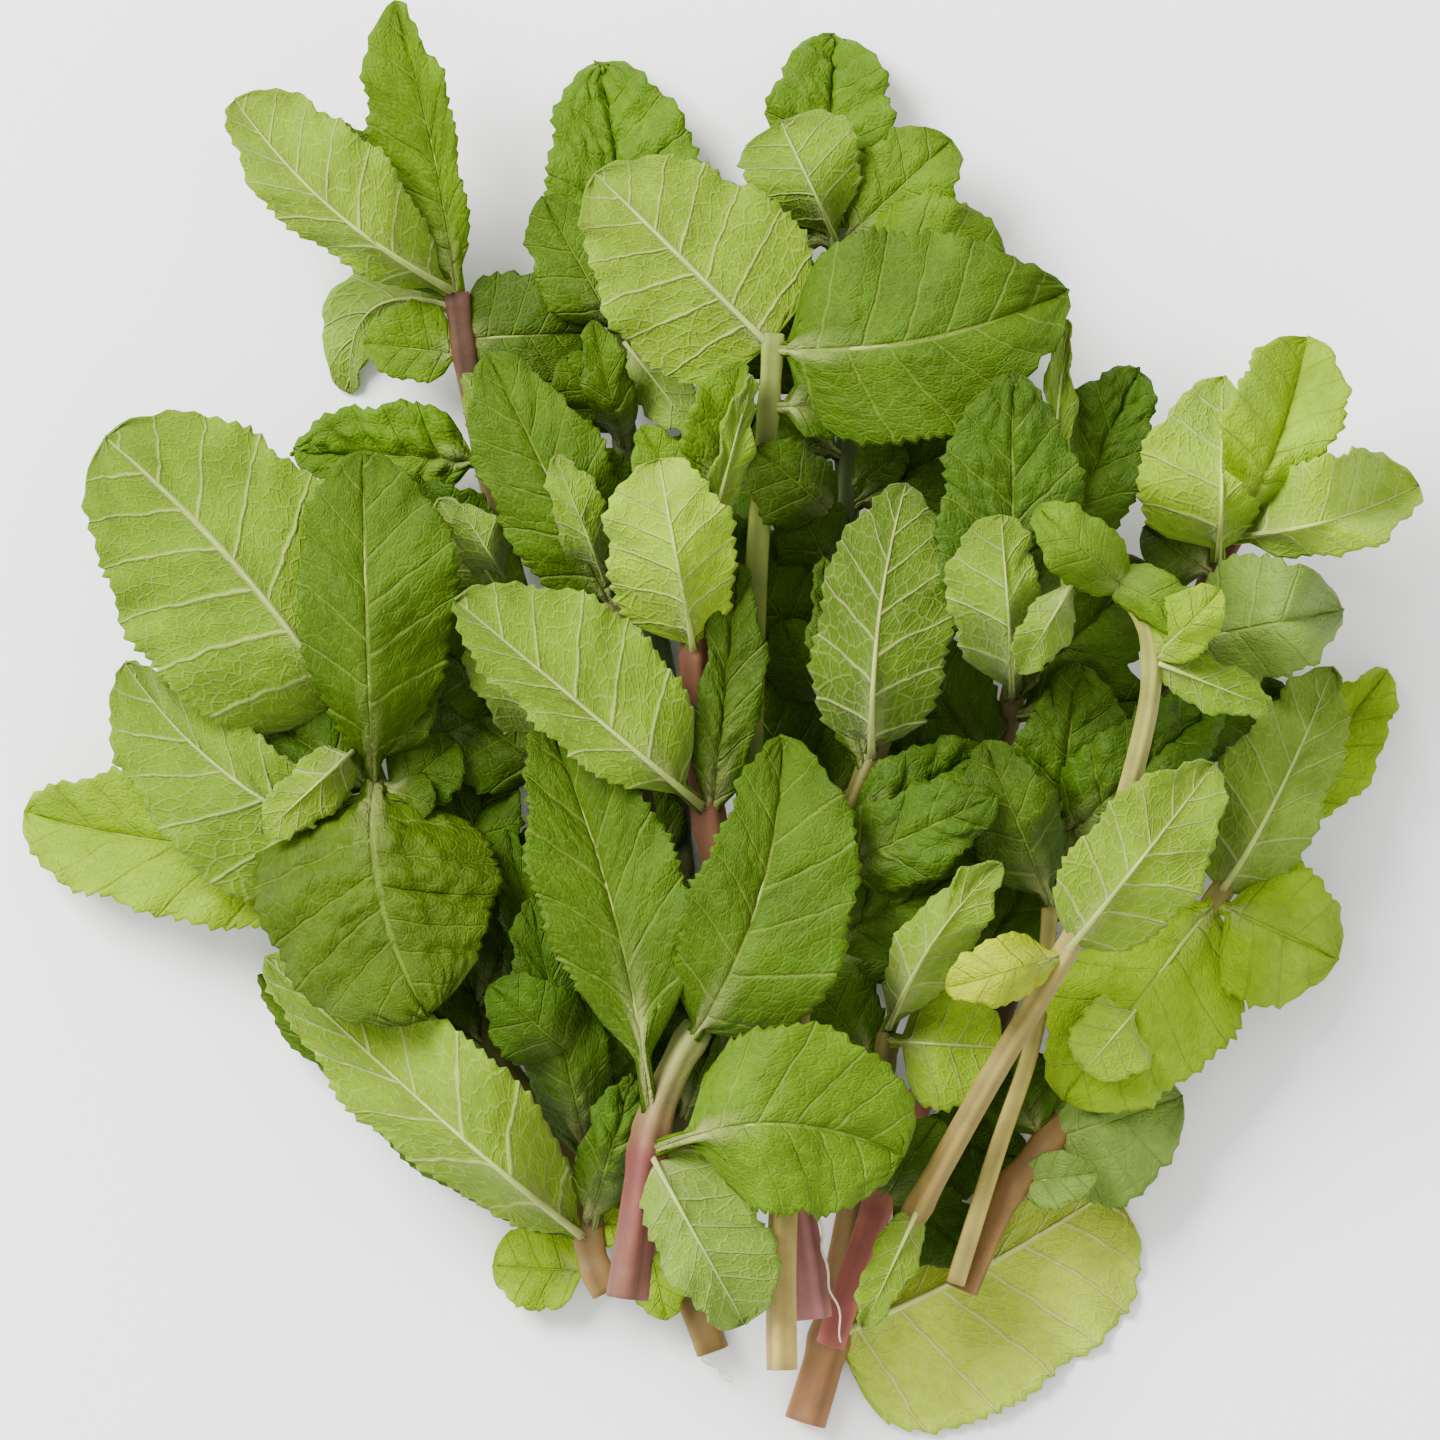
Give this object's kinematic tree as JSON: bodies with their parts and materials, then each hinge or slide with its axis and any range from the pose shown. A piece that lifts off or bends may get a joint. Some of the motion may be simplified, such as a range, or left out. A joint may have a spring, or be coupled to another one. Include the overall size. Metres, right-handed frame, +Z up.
{
  "type": "bunch of fresh mint",
  "caption": "Loose bunch of fresh mint lying flat: square leafy stems laid over one another, cut ends together at the front, toothed leaves fanned out.",
  "frame": {"origin": "middle of the bunch on the table it lies on", "axes": "+Z up, +Y from the cut stem ends to the leafy tips, +X to the right of that"},
  "size_m": [0.1962, 0.2015, 0.0525],
  "materials": {
    "mint_light": "soft matt pale green",
    "mint_mid": "soft satin mid green",
    "mint_dark": "crinkled satin dark green"
  },
  "bodies": {
    "root": {"left_arm_sprig": "mint_mid", "top_left_sprig": "mint_light", "top_inner_left_sprig": "mint_mid", "top_centre_sprig": "mint_light", "top_right_sprig": "mint_mid", "right_inner_sprig": "mint_dark", "right_arm_sprig": "mint_light", "right_low_sprig": "mint_light", "centre_left_sprig": "mint_mid", "low_left_sprig": "mint_light", "centre_right_sprig": "mint_mid", "low_right_sprig": "mint_light", "short_tan_sprig": "mint_dark", "centre_sprig": "mint_light", "front_sprig": "mint_mid", "long_tan_sprig": "mint_light"}
  },
  "joints": []
}
